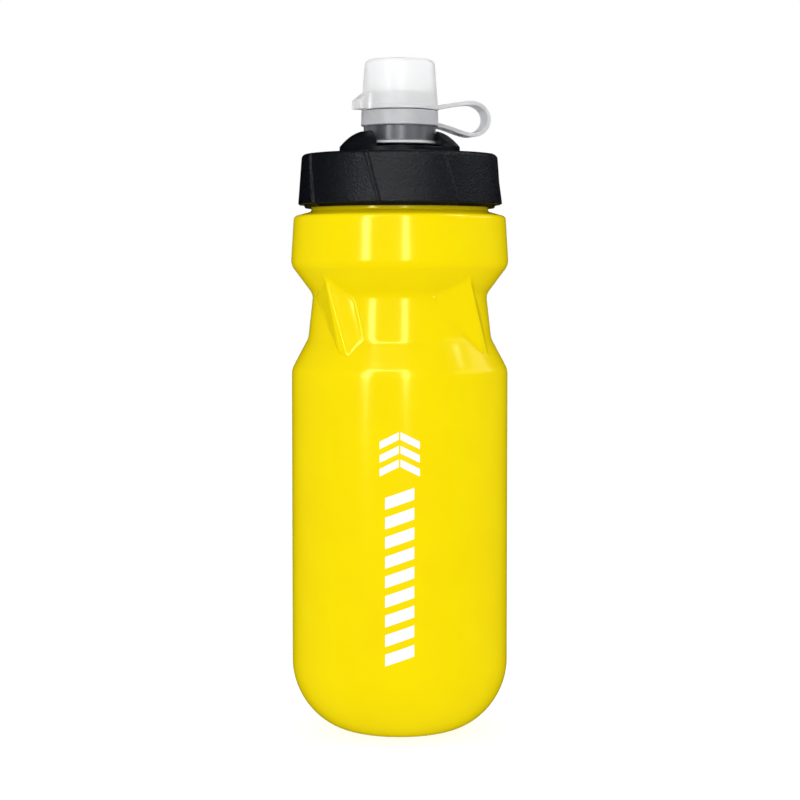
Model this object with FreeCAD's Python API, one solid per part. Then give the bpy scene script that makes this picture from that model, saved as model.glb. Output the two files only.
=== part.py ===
import FreeCAD, Part
import math
import os

# Squeeze bottle for a bicycle cage, in millimetres. The origin is on the bottle's axis, on the plane
# that its base stands on, with +Z up. An azimuth of 0 degrees is the front (-Y), and 90 is +X.

V = FreeCAD.Vector

# Bottle: a blow-moulded shell whose straight part fits a standard 73 mm cage
BODY_RADIUS = 36.5
WALL = 1.2
BASE_RING = (12.5, 15.0)
BASE_PUSH_UP = 3.5
BASE_CORNER_HEIGHT = 23.5
BASE_CORNER_POWER = 1.9
BASE_CORNER_STEPS = 12
BASE_DIMPLE_RISE = 0.75
BAND_RADIUS = 36.7
NECK_RADIUS = 29.7
NECK_BORE = 27.5
NECK_TOP = 190.5
NECK_LIP_ROUNDING = 0.6
NECK_FOOT_INSIDE = (0.6, 1.5)
# outline above the base corner, bottom to top: radius, height, corner rounding
BODY_OUTLINE = [
    (BODY_RADIUS, BASE_CORNER_HEIGHT, 0),
    (BODY_RADIUS, 122.1, 6.0),
    (30.8, 132.6, 6.0),
    (29.15, 147.2, 4.0),
    (BAND_RADIUS, 157.2, 5.0),
    (35.7, 172.7, 1.6),
    (NECK_RADIUS, 175.3, 0.8),
]

# Finger grips: four slanted ridges across the waist, each a flat facet that ends in a steep side
GRIP_COUNT = 4
GRIP_AZIMUTH = -47.0
# corners of one grip: azimuth from the ridge's top, radius, height
GRIP_RIDGE_TOP = (0.0, 33.4, 153.5)
GRIP_RIDGE_FOOT = (17.0, 34.0, 126.5)
GRIP_FACET_START = (-21.5, 29.3, 146.0)
GRIP_FACET_FOOT = (8.5, 33.4, 127.8)
GRIP_SIDE_TOP = (16.5, 28.9, 145.0)
GRIP_SIDE_FOOT = (23.7, 30.4, 132.0)
GRIP_HEART = (0.0, 18.0, 141.0)
GRIP_INSET = 1.44

# Screw thread between neck and lid: right-handed, one start
THREAD_PITCH = 5.0
THREAD_ROOT_WIDTH = 2.4
THREAD_CREST_WIDTH = 0.9
NECK_THREAD_CREST = 30.9
NECK_THREAD_START = 181.2
NECK_THREAD_TURNS = 1.25
LID_THREAD_CREST = 30.2
LID_THREAD_START = 178.7
LID_THREAD_TURNS = 1.5
THREAD_EMBED = 0.4

# Lid: a screw cap with eight slanted grip steps
LID_BOTTOM = 177.3
LID_TOP = 194.0
LID_DECK = 1.8
LID_RADIUS_BOTTOM = 34.6
LID_RADIUS_TOP = 33.2
LID_BORE = 31.5
LID_CORNER = 1.5
LID_CORNER_SPAN = 8.0
LID_STEPS = 8
LID_STEP_DEPTH = 0.7
LID_STEP_AZIMUTH = -18.5
LID_STEP_SLANT = 8.5
LID_PLUG = (25.8, 26.8)
LID_PLUG_DEPTH = 5.0
LID_HOLE = 14.1
GASKET = (27.0, 31.2)
GASKET_GAP = 0.05

# Spout collar: a dome with two wings, a stem for the nozzle and a plug pin on four spokes
COLLAR_RADIUS = 20.2
COLLAR_FLOOR = 2.1
COLLAR_BORE = 13.0
COLLAR_SHOULDER_Z = 196.6
COLLAR_CREST_Z = 201.7
COLLAR_MIDDLE = (17.0, 199.75)
SLOT_HALF_WIDTH = 10.75
SLOT_AZIMUTH = 11.4
SPIGOT = (12.8, 14.0)
SPIGOT_DEPTH = 4.5
SPIGOT_BARB = 0.6
BARB_GAP = 0.1
STEM = (7.2, 8.75)
STEM_LIP = 9.1
STEM_LIP_Z = 204.9
STEM_TOP = 208.8
SPOKE_WIDTH = 1.4
SPOKE_HEIGHT = 1.8
PIN_RADIUS = 2.25
PIN_TOP = 213.2

# O-rings: section radius and the radius of the section's centre
O_RING_SECTION = 0.6
COLLAR_O_RING_RADIUS = 17.0
STEM_O_RING_RADIUS = 8.63
STEM_O_RING_Z = 206.8
GROOVE_WIDTH = 1.6
GROOVE_DEPTH = 1.3
SEAL_GAP = 0.03

# Nozzle: a hard sleeve that slides on the stem, with a soft tip and a slit valve
SLEEVE_BOTTOM = 197.4
SLEEVE_RADIUS = 12.1
SLEEVE_LIP = 12.6
SLEEVE_BORE = 9.3
SLEEVE_BEAD = 8.95
SLEEVE_LIP_HEIGHT = 1.1
SLEEVE_FLANGE_CHAMFER = 0.5
RING_GROOVE = (11.0, 203.4, 208.7)
SLEEVE_FLANGE = (11.35, 209.7)
SLEEVE_SHOULDER = (10.9, 214.5)
SLEEVE_SPIGOT = (6.8, 8.0, 218.5)
PARTITION = (211.6, 213.0)
ORIFICE = 2.5
TIP_GAP = 0.1
TIP_TOP = 222.2
TIP_MOUTH = 4.6
# outline of the tip above its foot: radius, height, corner rounding
TIP_OUTLINE = [
    (10.6, SLEEVE_SHOULDER[1] + TIP_GAP, 0.4),
    (10.2, 216.2, 3.0),
    (8.7, 219.8, 3.0),
    (7.3, TIP_TOP, 0.9),
    (TIP_MOUTH, TIP_TOP, 0.5),
]
VALVE_RADIUS = 7.9
VALVE_THICKNESS = 0.8
VALVE_SLIT = (7.0, 0.2)
VALVE_SLIT_AZIMUTHS = (45, 135)

# Dust cap, its tether ring and the strap between them; the strap leaves at the back right
STRAP_AZIMUTH = 115.0
RING = (11.2, 13.0, 203.55, 208.55)
RING_TAPER = 0.15
RING_ROUNDING = 0.3
CAP_BOTTOM = 208.9
CAP_TOP = 225.6
CAP_RADIUS_BOTTOM = 12.9
CAP_RADIUS_TOP = 11.6
CAP_RIM = 0.2
CAP_RIM_HEIGHT = 1.2
CAP_RIM_ROUNDING = 0.3
CAP_CORNER = 1.6
CAP_CORNER_INSIDE = 1.0
CAP_WALL = 1.15
TAB_HALF_WIDTH = 3.8
TAB_REACH = 16.4
TAB_TIP_HEIGHT = 2.9
TAB_ROOT_HEIGHT = 5.6
TAB_EMBED = 0.6
TAB_DRAFT = 0.4
STRAP_WIDTH = 5.2
STRAP_THICKNESS = 1.4
LOOP_CENTRE = (26.0, 206.1)
LOOP_RADIUS = 5.7
LOOP_ENDS = (-105.0, 100.0)
RUN_STEPS = 8
# how hard the Bezier runs pull along the loop's ends, and along the strap at the ring and the cap
LOOP_PULL = 4.0
RING_PULL = (4.0, -0.3)
CAP_PULL = (-4.0, 0.2)
STRAP_CAP_ROOT = (12.5, 209.9)
STRAP_RING_ROOT = (12.6, 204.4)
STRAP_CLEARANCE = 0.05

AXIS = V(0, 0, 1)
# how far a cutter reaches past the face that it cuts through
OVERCUT = 1.0


def at(azimuth, radius, z):
    """The point at an azimuth, a radius and a height."""
    a = math.radians(azimuth)
    return V(radius * math.sin(a), -radius * math.cos(a), z)


def path_edges(points):
    """Edges in the XZ plane through (r, z) or (r, z, rounding), with each rounded corner as an arc."""
    corners = [V(p[0], 0, p[1]) for p in points]
    roundings = [p[2] if len(p) > 2 else 0 for p in points]
    edges = []
    last = corners[0]
    for before, corner, after, rounding in zip(corners, corners[1:], corners[2:], roundings[1:]):
        if not rounding:
            edges.append(Part.makeLine(last, corner))
            last = corner
            continue
        into = (corner - before).normalize()
        out = (after - corner).normalize()
        half_turn = into.getAngle(out) / 2
        setback = rounding * math.tan(half_turn)
        bulge = rounding / math.cos(half_turn) - rounding
        start = corner - into * setback
        end = corner + out * setback
        middle = corner + (out - into).normalize() * bulge
        edges.append(Part.makeLine(last, start))
        edges.append(Part.Arc(start, middle, end).toShape())
        last = end
    edges.append(Part.makeLine(last, corners[-1]))
    return edges


def turned(edges):
    """The solid of revolution about the axis of a closed profile in the XZ plane."""
    wire = Part.Wire(Part.__sortEdges__(edges))
    return Part.Face(wire).revolve(V(0, 0, 0), AXIS, 360)


def turned_points(points):
    """The solid of revolution of a closed profile that is given by its corners."""
    return turned(path_edges(list(points) + [points[0]]))


def tube(inner, outer, bottom, top):
    """A plain ring between two radii and two heights."""
    ring = Part.makeCylinder(outer, top - bottom, V(0, 0, bottom))
    return ring.cut(Part.makeCylinder(inner, top - bottom, V(0, 0, bottom)))


def disc(radius, bottom, top):
    """A round bar on the axis between two heights."""
    return Part.makeCylinder(radius, top - bottom, V(0, 0, bottom))


def parallel(points, inset):
    """The points of a path that runs at a distance inside another one."""
    lines = []
    for p, q in zip(points, points[1:]):
        along = V(q[0] - p[0], q[1] - p[1], 0).normalize()
        inward = V(-along.y, along.x, 0) * inset
        lines.append((V(p[0], p[1], 0) + inward, V(q[0], q[1], 0) + inward, along))
    moved = [(lines[0][0].x, lines[0][0].y, points[0][2])]
    for (a, _, u), (b, _, w), p in zip(lines, lines[1:], points[1:]):
        share = ((b - a).x * w.y - (b - a).y * w.x) / (u.x * w.y - u.y * w.x)
        corner = a + u * share
        moved.append((corner.x, corner.y, p[2]))
    moved.append((lines[-1][1].x, lines[-1][1].y, points[-1][2]))
    return moved


def helical_ridge(root, crest, start, turns):
    """A right-handed thread ridge, whose section starts towards +X at a height."""
    helix = Part.makeHelix(THREAD_PITCH, THREAD_PITCH * turns, root)
    half_root = THREAD_ROOT_WIDTH / 2
    half_crest = THREAD_CREST_WIDTH / 2
    section = Part.makePolygon(
        [
            V(root, 0, -half_root),
            V(crest, 0, -half_crest),
            V(crest, 0, half_crest),
            V(root, 0, half_root),
            V(root, 0, -half_root),
        ]
    )
    ridge = Part.Wire(helix.Edges).makePipeShell([section], True, True)
    ridge.translate(V(0, 0, start))
    return ridge


def base_corner(inset):
    """The edge of the rounded base corner, a superellipse quarter from the base ring to the side."""
    width = BODY_RADIUS - BASE_RING[1] - inset
    height = BASE_CORNER_HEIGHT - inset
    points = []
    for i in range(BASE_CORNER_STEPS + 1):
        a = math.pi / 2 * i / BASE_CORNER_STEPS
        across = math.sin(a) ** (2 / BASE_CORNER_POWER)
        up = 1 - math.cos(a) ** (2 / BASE_CORNER_POWER)
        points.append(V(BASE_RING[1] + width * across, 0, inset + height * up))
    curve = Part.BSplineCurve()
    curve.interpolate(points)
    return curve.toShape()


def body_profile(inset, neck):
    """The closed half section of the bottle's outside, or of its cavity when it is inset."""
    centre = V(0, 0, BASE_PUSH_UP + inset)
    middle = V(BASE_RING[0] / 2, 0, BASE_PUSH_UP * BASE_DIMPLE_RISE + inset)
    ring_in = V(BASE_RING[0], 0, inset)
    ring_out = V(BASE_RING[1], 0, inset)
    outline = parallel(BODY_OUTLINE, inset) if inset else BODY_OUTLINE
    side = path_edges(outline[:-1] + neck)
    corner = base_corner(inset)
    top = V(neck[-1][0], 0, neck[-1][1])
    edges = [Part.Arc(centre, middle, ring_in).toShape(), Part.makeLine(ring_in, ring_out), corner]
    edges += side
    edges += [Part.makeLine(top, V(0, 0, top.z)), Part.makeLine(V(0, 0, top.z), centre)]
    return edges


def grip(number, inset):
    """One slanted ridge: a closed shape of flat triangles that reaches into the bottle."""
    azimuth = GRIP_AZIMUTH + 360 / GRIP_COUNT * number
    corners = [GRIP_RIDGE_TOP, GRIP_SIDE_TOP, GRIP_SIDE_FOOT]
    corners += [GRIP_RIDGE_FOOT, GRIP_FACET_FOOT, GRIP_FACET_START]
    rim = [at(azimuth + turn, radius - inset, z) for turn, radius, z in corners]
    heart = at(azimuth + GRIP_HEART[0], GRIP_HEART[1], GRIP_HEART[2])
    triangles = [(rim[0], a, b) for a, b in zip(rim[1:], rim[2:])]
    triangles += [(heart, b, a) for a, b in zip(rim, rim[1:] + rim[:1])]
    faces = [Part.Face(Part.makePolygon([a, b, c, a])) for a, b, c in triangles]
    solid = Part.Solid(Part.Shell(faces))
    if solid.Volume < 0:
        solid.reverse()
    return solid


def bottle_body():
    """The blow-moulded shell with its grips, threaded neck and push-up base."""
    neck_out = [BODY_OUTLINE[-1], (NECK_RADIUS, NECK_TOP, NECK_LIP_ROUNDING), (NECK_BORE, NECK_TOP)]
    shoulder_z = parallel(BODY_OUTLINE, WALL)[-1][1]
    foot_rise, foot_rounding = NECK_FOOT_INSIDE
    neck_in = [(NECK_BORE, shoulder_z + foot_rise, foot_rounding), (NECK_BORE, NECK_TOP + OVERCUT)]
    outside = turned(body_profile(0, neck_out))
    cavity = turned(body_profile(WALL, neck_in))
    for number in range(GRIP_COUNT):
        outside = outside.fuse(grip(number, 0))
        cavity = cavity.fuse(grip(number, GRIP_INSET))
    root = NECK_RADIUS - THREAD_EMBED
    thread = helical_ridge(root, NECK_THREAD_CREST, NECK_THREAD_START, NECK_THREAD_TURNS)
    return outside.cut(cavity).fuse(thread)


def step_ring(radius, z, azimuth):
    """The outline of the lid's grip steps at a height: arcs that rise slowly and drop at each step."""
    turn = 360 / LID_STEPS
    edges = []
    for i in range(LID_STEPS):
        a = azimuth + i * turn
        low = at(a, radius - LID_STEP_DEPTH, z)
        middle = at(a + turn / 2, radius - LID_STEP_DEPTH / 2, z)
        high = at(a + turn, radius, z)
        edges.append(Part.Arc(low, middle, high).toShape())
        edges.append(Part.makeLine(high, at(a + turn, radius - LID_STEP_DEPTH, z)))
    return Part.Wire(edges)


def lid_shell():
    """The screw lid: stepped skirt, deck with the collar's hole, seal plug and inner thread."""
    bottom = step_ring(LID_RADIUS_BOTTOM, LID_BOTTOM, LID_STEP_AZIMUTH + LID_STEP_SLANT)
    top = step_ring(LID_RADIUS_TOP, LID_TOP, LID_STEP_AZIMUTH)
    skirt = Part.makeLoft([bottom, top], True, True)
    edge = LID_RADIUS_TOP - LID_STEP_DEPTH / 2
    envelope = turned_points(
        [
            (0, LID_BOTTOM),
            (LID_RADIUS_BOTTOM + OVERCUT, LID_BOTTOM),
            (LID_RADIUS_BOTTOM + OVERCUT, LID_TOP - LID_CORNER_SPAN),
            (edge, LID_TOP, LID_CORNER),
            (0, LID_TOP),
        ]
    )
    deck_bottom = LID_TOP - LID_DECK
    shell = skirt.common(envelope)
    shell = shell.cut(disc(LID_BORE, LID_BOTTOM - OVERCUT, deck_bottom))
    shell = shell.cut(disc(LID_HOLE, deck_bottom - OVERCUT, LID_TOP + OVERCUT))
    shell = shell.fuse(tube(*LID_PLUG, deck_bottom - LID_PLUG_DEPTH, deck_bottom))
    root = LID_BORE + THREAD_EMBED
    thread = helical_ridge(root, LID_THREAD_CREST, LID_THREAD_START, LID_THREAD_TURNS)
    return shell.fuse(thread)


def lid_gasket():
    """The flat sealing ring between the neck's rim and the deck."""
    return tube(*GASKET, NECK_TOP + GASKET_GAP, LID_TOP - LID_DECK - GASKET_GAP)


def wings():
    """The dome around the nozzle, cut by a straight slot into two wings."""
    floor = LID_TOP + COLLAR_FLOOR
    middle_radius, middle_z = COLLAR_MIDDLE
    crest = V(COLLAR_BORE, 0, COLLAR_CREST_Z)
    shoulder = V(COLLAR_RADIUS, 0, COLLAR_SHOULDER_Z)
    dome = turned(
        [
            Part.Arc(crest, V(middle_radius, 0, middle_z), shoulder).toShape(),
            Part.makeLine(shoulder, V(COLLAR_RADIUS, 0, LID_TOP)),
            Part.makeLine(V(COLLAR_RADIUS, 0, LID_TOP), V(COLLAR_BORE, 0, LID_TOP)),
            Part.makeLine(V(COLLAR_BORE, 0, LID_TOP), crest),
        ]
    )
    reach = COLLAR_RADIUS + OVERCUT
    height = COLLAR_CREST_Z + OVERCUT - floor
    slot = Part.makeBox(2 * SLOT_HALF_WIDTH, 2 * reach, height, V(-SLOT_HALF_WIDTH, -reach, floor))
    slot.rotate(V(0, 0, 0), AXIS, SLOT_AZIMUTH)
    return dome.cut(slot)


def spout_collar():
    """The snap-in moulding that carries the wings, the stem and the plug pin."""
    floor = LID_TOP + COLLAR_FLOOR
    collar = tube(STEM[0], COLLAR_RADIUS, LID_TOP, floor).fuse(wings())
    spigot_bottom = LID_TOP - SPIGOT_DEPTH
    collar = collar.fuse(tube(*SPIGOT, spigot_bottom, LID_TOP))
    barb_top = LID_TOP - LID_DECK - BARB_GAP
    spigot_middle = (SPIGOT[0] + SPIGOT[1]) / 2
    barb = turned_points(
        [
            (spigot_middle, spigot_bottom),
            (SPIGOT[1], spigot_bottom),
            (SPIGOT[1] + SPIGOT_BARB, barb_top - SPIGOT_BARB),
            (SPIGOT[1] + SPIGOT_BARB, barb_top),
            (spigot_middle, barb_top),
        ]
    )
    collar = collar.fuse(barb)
    collar = collar.fuse(tube(*STEM, LID_TOP, STEM_TOP))
    collar = collar.fuse(tube(STEM[0], STEM_LIP, STEM_LIP_Z, STEM_TOP))
    half_groove = GROOVE_WIDTH / 2
    groove_floor = STEM_O_RING_RADIUS - O_RING_SECTION - SEAL_GAP
    groove_bottom = STEM_O_RING_Z - half_groove
    collar = collar.cut(tube(groove_floor, STEM_LIP + OVERCUT, groove_bottom, groove_bottom + GROOVE_WIDTH))
    groove_in = COLLAR_O_RING_RADIUS - half_groove
    collar = collar.cut(tube(groove_in, groove_in + GROOVE_WIDTH, LID_TOP, LID_TOP + GROOVE_DEPTH))
    arm_reach = (STEM[0] + STEM_LIP) / 2
    arm_bottom = STEM_TOP - SPOKE_HEIGHT
    spoke = Part.makeBox(
        2 * arm_reach, SPOKE_WIDTH, SPOKE_HEIGHT, V(-arm_reach, -SPOKE_WIDTH / 2, arm_bottom)
    )
    for turn in (0, 90):
        arm = spoke.copy()
        arm.rotate(V(0, 0, 0), AXIS, turn)
        collar = collar.fuse(arm)
    pin = disc(PIN_RADIUS, arm_bottom, PIN_TOP - PIN_RADIUS)
    pin = pin.fuse(Part.makeSphere(PIN_RADIUS, V(0, 0, PIN_TOP - PIN_RADIUS)))
    return collar.fuse(pin)


def o_ring(radius, z):
    """A round-section seal ring about the axis."""
    return Part.makeTorus(radius, O_RING_SECTION, V(0, 0, z), AXIS)


def nozzle_sleeve():
    """The hard sleeve: bead and bore for the stem, groove for the tether ring, orifice and spigot."""
    lip_top = SLEEVE_BOTTOM + SLEEVE_LIP_HEIGHT
    groove_radius, groove_bottom, groove_top = RING_GROOVE
    flange_radius, flange_top = SLEEVE_FLANGE
    shoulder_radius, shoulder_z = SLEEVE_SHOULDER
    spigot_in, spigot_out, spigot_top = SLEEVE_SPIGOT
    partition_bottom, partition_top = PARTITION
    return turned_points(
        [
            (SLEEVE_BEAD, SLEEVE_BOTTOM),
            (SLEEVE_LIP, SLEEVE_BOTTOM),
            (SLEEVE_RADIUS, lip_top),
            (SLEEVE_RADIUS, groove_bottom),
            (groove_radius, groove_bottom),
            (groove_radius, groove_top),
            (flange_radius, groove_top),
            (flange_radius, flange_top - SLEEVE_FLANGE_CHAMFER),
            (shoulder_radius, flange_top),
            (shoulder_radius, shoulder_z),
            (spigot_out, shoulder_z),
            (spigot_out, spigot_top),
            (spigot_in, spigot_top),
            (spigot_in, partition_top),
            (ORIFICE, partition_top),
            (ORIFICE, partition_bottom),
            (SLEEVE_BORE, partition_bottom),
            (SLEEVE_BORE, lip_top),
            (SLEEVE_BEAD, lip_top),
        ]
    )


def nozzle_tip():
    """The soft mouthpiece that is stretched over the sleeve's spigot."""
    valve_seat = SLEEVE_SPIGOT[2] + 2 * TIP_GAP + VALVE_THICKNESS
    bore = SLEEVE_SPIGOT[1] + TIP_GAP
    foot = TIP_OUTLINE[0][1]
    return turned_points([(bore, foot)] + TIP_OUTLINE + [(TIP_MOUTH, valve_seat), (bore, valve_seat)])


def valve_membrane():
    """The thin disc with a crossed slit that opens when the bottle is squeezed."""
    bottom = SLEEVE_SPIGOT[2] + TIP_GAP
    membrane = disc(VALVE_RADIUS, bottom, bottom + VALVE_THICKNESS)
    length, width = VALVE_SLIT
    height = VALVE_THICKNESS + 2 * OVERCUT
    slit = Part.makeBox(length, width, height, V(-length / 2, -width / 2, bottom - OVERCUT))
    for turn in VALVE_SLIT_AZIMUTHS:
        cutter = slit.copy()
        cutter.rotate(V(0, 0, 0), AXIS, turn)
        membrane = membrane.cut(cutter)
    return membrane


def tether_ring():
    """The ring that turns in the sleeve's groove."""
    inner, outer, bottom, top = RING
    return turned_points(
        [
            (inner, bottom),
            (outer, bottom, RING_ROUNDING),
            (outer - RING_TAPER, top, RING_ROUNDING),
            (inner, top),
        ]
    )


def cap_radius(z):
    """The dust cap's outer radius at a height, on its tapered side."""
    share = (z - CAP_BOTTOM) / (CAP_TOP - CAP_BOTTOM)
    return CAP_RADIUS_BOTTOM + (CAP_RADIUS_TOP - CAP_RADIUS_BOTTOM) * share


def dust_cap():
    """The tapered soft cap with a rolled rim and a thumb tab opposite the strap."""
    rim_top = CAP_BOTTOM + CAP_RIM_HEIGHT
    side_bottom = rim_top + CAP_RIM_ROUNDING
    outside = turned_points(
        [
            (0, CAP_BOTTOM),
            (CAP_RADIUS_BOTTOM + CAP_RIM, CAP_BOTTOM, CAP_RIM_ROUNDING),
            (CAP_RADIUS_BOTTOM + CAP_RIM, rim_top, CAP_RIM_ROUNDING),
            (cap_radius(side_bottom), side_bottom),
            (CAP_RADIUS_TOP, CAP_TOP, CAP_CORNER),
            (0, CAP_TOP),
        ]
    )
    root = cap_radius(CAP_BOTTOM + TAB_ROOT_HEIGHT) - TAB_EMBED
    side = Part.makePolygon(
        [
            V(root, -TAB_HALF_WIDTH, CAP_BOTTOM),
            V(TAB_REACH, -TAB_HALF_WIDTH, CAP_BOTTOM),
            V(TAB_REACH - TAB_DRAFT, -TAB_HALF_WIDTH, CAP_BOTTOM + TAB_TIP_HEIGHT),
            V(root, -TAB_HALF_WIDTH, CAP_BOTTOM + TAB_ROOT_HEIGHT),
            V(root, -TAB_HALF_WIDTH, CAP_BOTTOM),
        ]
    )
    tab = Part.Face(side).extrude(V(0, 2 * TAB_HALF_WIDTH, 0))
    tab.rotate(V(0, 0, 0), AXIS, STRAP_AZIMUTH + 90)
    cavity = turned_points(
        [
            (0, CAP_BOTTOM - OVERCUT),
            (CAP_RADIUS_BOTTOM - CAP_WALL, CAP_BOTTOM - OVERCUT),
            (CAP_RADIUS_BOTTOM - CAP_WALL, CAP_BOTTOM),
            (CAP_RADIUS_TOP - CAP_WALL, CAP_TOP - CAP_WALL, CAP_CORNER_INSIDE),
            (0, CAP_TOP - CAP_WALL),
        ]
    )
    return outside.fuse(tab).cut(cavity)


def strap_side(offset):
    """One long side of the strap's section in the XZ plane, at an offset from its centre line.

    It runs from the ring along the lower run, round the loop and back along the upper run to the cap.
    """
    centre = V(LOOP_CENTRE[0], 0, LOOP_CENTRE[1])

    def around(angle, radius):
        a = math.radians(angle)
        return V(math.cos(a), 0, math.sin(a)) * radius

    def run(start, start_pull, end, end_pull):
        middle = Part.BezierCurve()
        middle.setPoles([start, start + start_pull, end - end_pull, end])
        points = []
        for i in range(RUN_STEPS + 1):
            share = i / RUN_STEPS
            tangent = middle.tangent(share)[0]
            points.append(middle.value(share) + tangent.cross(V(0, -1, 0)).normalize() * offset)
        side = Part.BSplineCurve()
        side.interpolate(points)
        return side.toShape()

    first, last = LOOP_ENDS
    radius = LOOP_RADIUS + offset
    loop = Part.Arc(centre + around(first, radius), centre + V(radius, 0, 0), centre + around(last, radius))
    ring_root = V(STRAP_RING_ROOT[0], 0, STRAP_RING_ROOT[1])
    cap_root = V(STRAP_CAP_ROOT[0], 0, STRAP_CAP_ROOT[1])
    lower_end = centre + around(first, LOOP_RADIUS)
    upper_end = centre + around(last, LOOP_RADIUS)
    ring_pull = V(RING_PULL[0], 0, RING_PULL[1])
    cap_pull = V(CAP_PULL[0], 0, CAP_PULL[1])
    lower = run(ring_root, ring_pull, lower_end, around(first + 90, LOOP_PULL))
    upper = run(upper_end, around(last + 90, LOOP_PULL), cap_root, cap_pull)
    return [lower, loop.toShape(), upper]


def tether_strap():
    """The flat strap that bends back on itself in a round loop and joins the ring to the cap."""
    outer = strap_side(STRAP_THICKNESS / 2)
    inner = strap_side(-STRAP_THICKNESS / 2)
    ends = [
        Part.makeLine(outer[0].firstVertex().Point, inner[0].firstVertex().Point),
        Part.makeLine(outer[-1].lastVertex().Point, inner[-1].lastVertex().Point),
    ]
    section = Part.Face(Part.Wire(Part.__sortEdges__(outer + inner + ends)))
    strap = section.extrude(V(0, STRAP_WIDTH, 0))
    strap.translate(V(0, -STRAP_WIDTH / 2, 0))
    strap.rotate(V(0, 0, 0), AXIS, STRAP_AZIMUTH - 90)
    gap = (RING[3] + CAP_BOTTOM) / 2
    ring_space = disc(RING[1] + STRAP_CLEARANCE, RING[2] - STRAP_THICKNESS, gap)
    cap_space = disc(CAP_RADIUS_BOTTOM + CAP_RIM + STRAP_CLEARANCE, gap, CAP_TOP)
    return strap.cut(ring_space).cut(cap_space)


NODES = {
    "bottle_body": bottle_body,
    "lid_gasket": lid_gasket,
    "lid_shell": lid_shell,
    "spout_collar": spout_collar,
    "collar_o_ring": lambda: o_ring(COLLAR_O_RING_RADIUS, LID_TOP + O_RING_SECTION + SEAL_GAP),
    "stem_o_ring": lambda: o_ring(STEM_O_RING_RADIUS, STEM_O_RING_Z),
    "nozzle_sleeve": nozzle_sleeve,
    "nozzle_tip": nozzle_tip,
    "valve_membrane": valve_membrane,
    "tether_ring": tether_ring,
    "tether_strap": tether_strap,
    "dust_cap": dust_cap,
}


def main():
    os.makedirs("parts", exist_ok=True)
    for name, build in NODES.items():
        shape = build()
        solids = shape.Solids
        print(name, "solids", len(solids), "valid", shape.isValid(), "volume", round(shape.Volume, 1))
        whole = solids[0] if len(solids) == 1 else Part.makeCompound(solids)
        whole.exportStep(f"parts/{name}.step")


main()
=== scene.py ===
import math

import bmesh
import bpy
import numpy as np
from mathutils import Euler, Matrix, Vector


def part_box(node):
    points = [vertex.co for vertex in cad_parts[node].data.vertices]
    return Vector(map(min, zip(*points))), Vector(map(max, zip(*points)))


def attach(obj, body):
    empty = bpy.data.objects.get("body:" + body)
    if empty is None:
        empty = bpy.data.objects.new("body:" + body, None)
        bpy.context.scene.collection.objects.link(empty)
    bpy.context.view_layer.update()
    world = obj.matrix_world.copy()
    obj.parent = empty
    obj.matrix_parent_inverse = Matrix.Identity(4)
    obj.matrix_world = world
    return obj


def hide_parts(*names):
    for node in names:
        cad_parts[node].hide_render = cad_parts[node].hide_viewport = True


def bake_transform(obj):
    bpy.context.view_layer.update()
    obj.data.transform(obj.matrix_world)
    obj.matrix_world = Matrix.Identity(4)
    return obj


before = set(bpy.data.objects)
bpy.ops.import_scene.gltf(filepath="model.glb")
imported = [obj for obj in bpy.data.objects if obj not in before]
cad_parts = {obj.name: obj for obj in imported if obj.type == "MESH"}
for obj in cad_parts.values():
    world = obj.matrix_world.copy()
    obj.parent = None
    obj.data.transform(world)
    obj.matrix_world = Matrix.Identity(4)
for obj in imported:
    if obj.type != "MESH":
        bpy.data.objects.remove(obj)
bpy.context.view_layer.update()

# Squeeze bottle for a bicycle cage. Shapes are worked out in millimetres and degrees and become
# metres when a mesh is made. An azimuth of 0 degrees is the front (-Y), and 90 is +X.
# A corner of an outline is (radius, height) or (radius, height, rounding).

MM = 0.001


def low_mm(node):
    """The lowest corner of a CAD node, in millimetres."""
    return np.array(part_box(node)[0]) / MM


def high_mm(node):
    """The highest corner of a CAD node, in millimetres."""
    return np.array(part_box(node)[1]) / MM


# ---------------------------------------------------------------- sizes

# Meshes, in metres: how close points are merged, and how short an edge is dropped
MERGE_DISTANCE = 1e-6
SLIVER_LENGTH = 1e-7

# Bottle
BAND_RADIUS = high_mm("bottle_body")[0]
NECK_TOP = high_mm("bottle_body")[2]
BODY_RADIUS = BAND_RADIUS - 0.2
WALL = 1.2
NECK_RADIUS = 29.7
NECK_BORE = 27.5
NECK_LIP_DEPTH = 1.0
BASE_DIMPLE = [(0.0, 3.5), (3.5, 3.35), (7.0, 2.5), (10.0, 1.2), (12.5, 0.0, 1.2), (15.0, 0.0)]
BASE_CORNER_HEIGHT = 23.5
BASE_CORNER_POWER = 1.9
BASE_CORNER_POINTS = 25
BODY_OUTLINE = [
    (BODY_RADIUS, BASE_CORNER_HEIGHT),
    (BODY_RADIUS, 122.1, 6.0),
    (30.8, 132.6, 6.0),
    (29.15, 147.2, 4.0),
    (BAND_RADIUS, 157.2, 5.0),
    (BAND_RADIUS - 1.0, 173.4, 1.6),
    (NECK_RADIUS, 175.0, 0.8),
]
NECK_INSIDE = [(34.0, 171.6, 0.8), (NECK_BORE, 174.6, 1.5), (NECK_BORE, 189.0)]
EVEN_WALL_TOP = 170.0
WAIST = (124.0, 157.0)

# Bottle mesh: columns round it, and the tallest rows on the waist, the neck and the rest
BODY_COLUMNS = 480
WAIST_ROW = 0.45
NECK_ROW = 0.4
BODY_ROW = 4.0

# Finger grips: azimuth from the ridge, radius and height of the corners of one grip
GRIP_COUNT = 4
GRIP_AZIMUTH = -47.0
GRIP_RIM = [
    (0.0, 33.4, 153.5),
    (16.5, 28.9, 145.0),
    (23.7, 30.4, 132.5),
    (18.5, 33.9, 127.2),
    (11.0, 33.5, 128.6),
    (-21.5, 29.7, 146.5),
]
GRIP_SLANT = 18.5
GRIP_ZONE = (120.0, 157.0)
GRIP_MEAN_RADIUS = 32.0
GRIP_RIDGE_BLEND = 0.35

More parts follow.
